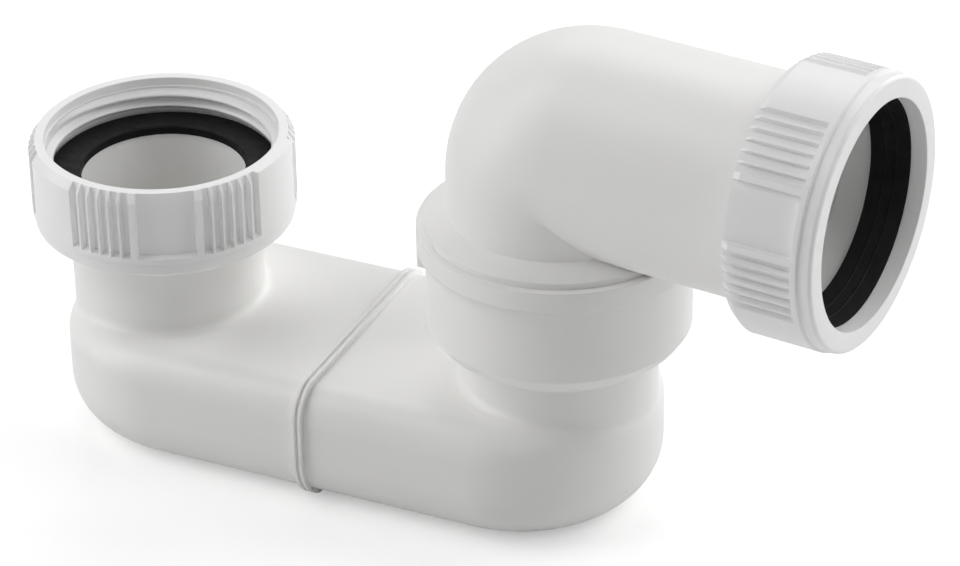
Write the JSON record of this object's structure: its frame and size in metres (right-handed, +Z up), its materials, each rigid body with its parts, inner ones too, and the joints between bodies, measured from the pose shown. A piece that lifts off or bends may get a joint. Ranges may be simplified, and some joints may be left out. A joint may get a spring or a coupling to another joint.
{
  "type": "sink trap",
  "caption": "Low-level sink trap: flat welded trap body with a threaded union nut inlet and a swivelling elbow outlet with a compression nut.",
  "frame": {"origin": "on the floor, on the axis of the inlet", "axes": "+X along the trap body from the inlet to the outlet cup, +Z up along the inlet's axis"},
  "size_m": [0.1872, 0.0648, 0.1095],
  "materials": {
    "trap_plastic": "satin",
    "nut_plastic": "satin",
    "seal_rubber": "matt"
  },
  "bodies": {
    "trap_body": {"body_inlet_half": "trap_plastic", "body_outlet_half": "trap_plastic", "inlet_washer": "seal_rubber"},
    "inlet_nut": {"inlet_union_nut": "nut_plastic"},
    "elbow": {"swivel_elbow": "trap_plastic", "socket_seal": "seal_rubber"},
    "cone_seal": {"outlet_seal": "seal_rubber"},
    "compression_nut": {"outlet_nut": "nut_plastic"}
  },
  "joints": [
    {"name": "inlet_nut_turn", "type": "hinge", "parent": "trap_body", "child": "inlet_nut", "pos_m": [0, 0, 0.0538], "axis": [0, 0, 1], "continuous": true},
    {"name": "elbow_swivel", "type": "hinge", "parent": "trap_body", "child": "elbow", "pos_m": [0.0891, 0, 0.05], "axis": [0, 0, 1], "range_deg": [-138.5, 151.5]},
    {"name": "seal_travel", "type": "slide", "parent": "elbow", "child": "cone_seal", "axis": [0.9936, -0.1132, 0], "range_m": [0, 0.00924]},
    {"name": "outlet_nut_turn", "type": "hinge", "parent": "cone_seal", "child": "compression_nut", "pos_m": [0.14792, -0.0067, 0.0821], "axis": [0.9936, -0.1132, 0], "range_deg": [0, 1440]}
  ],
  "couplings": [
    {"joint": "seal_travel", "follows": "outlet_nut_turn", "m_per_rad": 0.00036749}
  ]
}
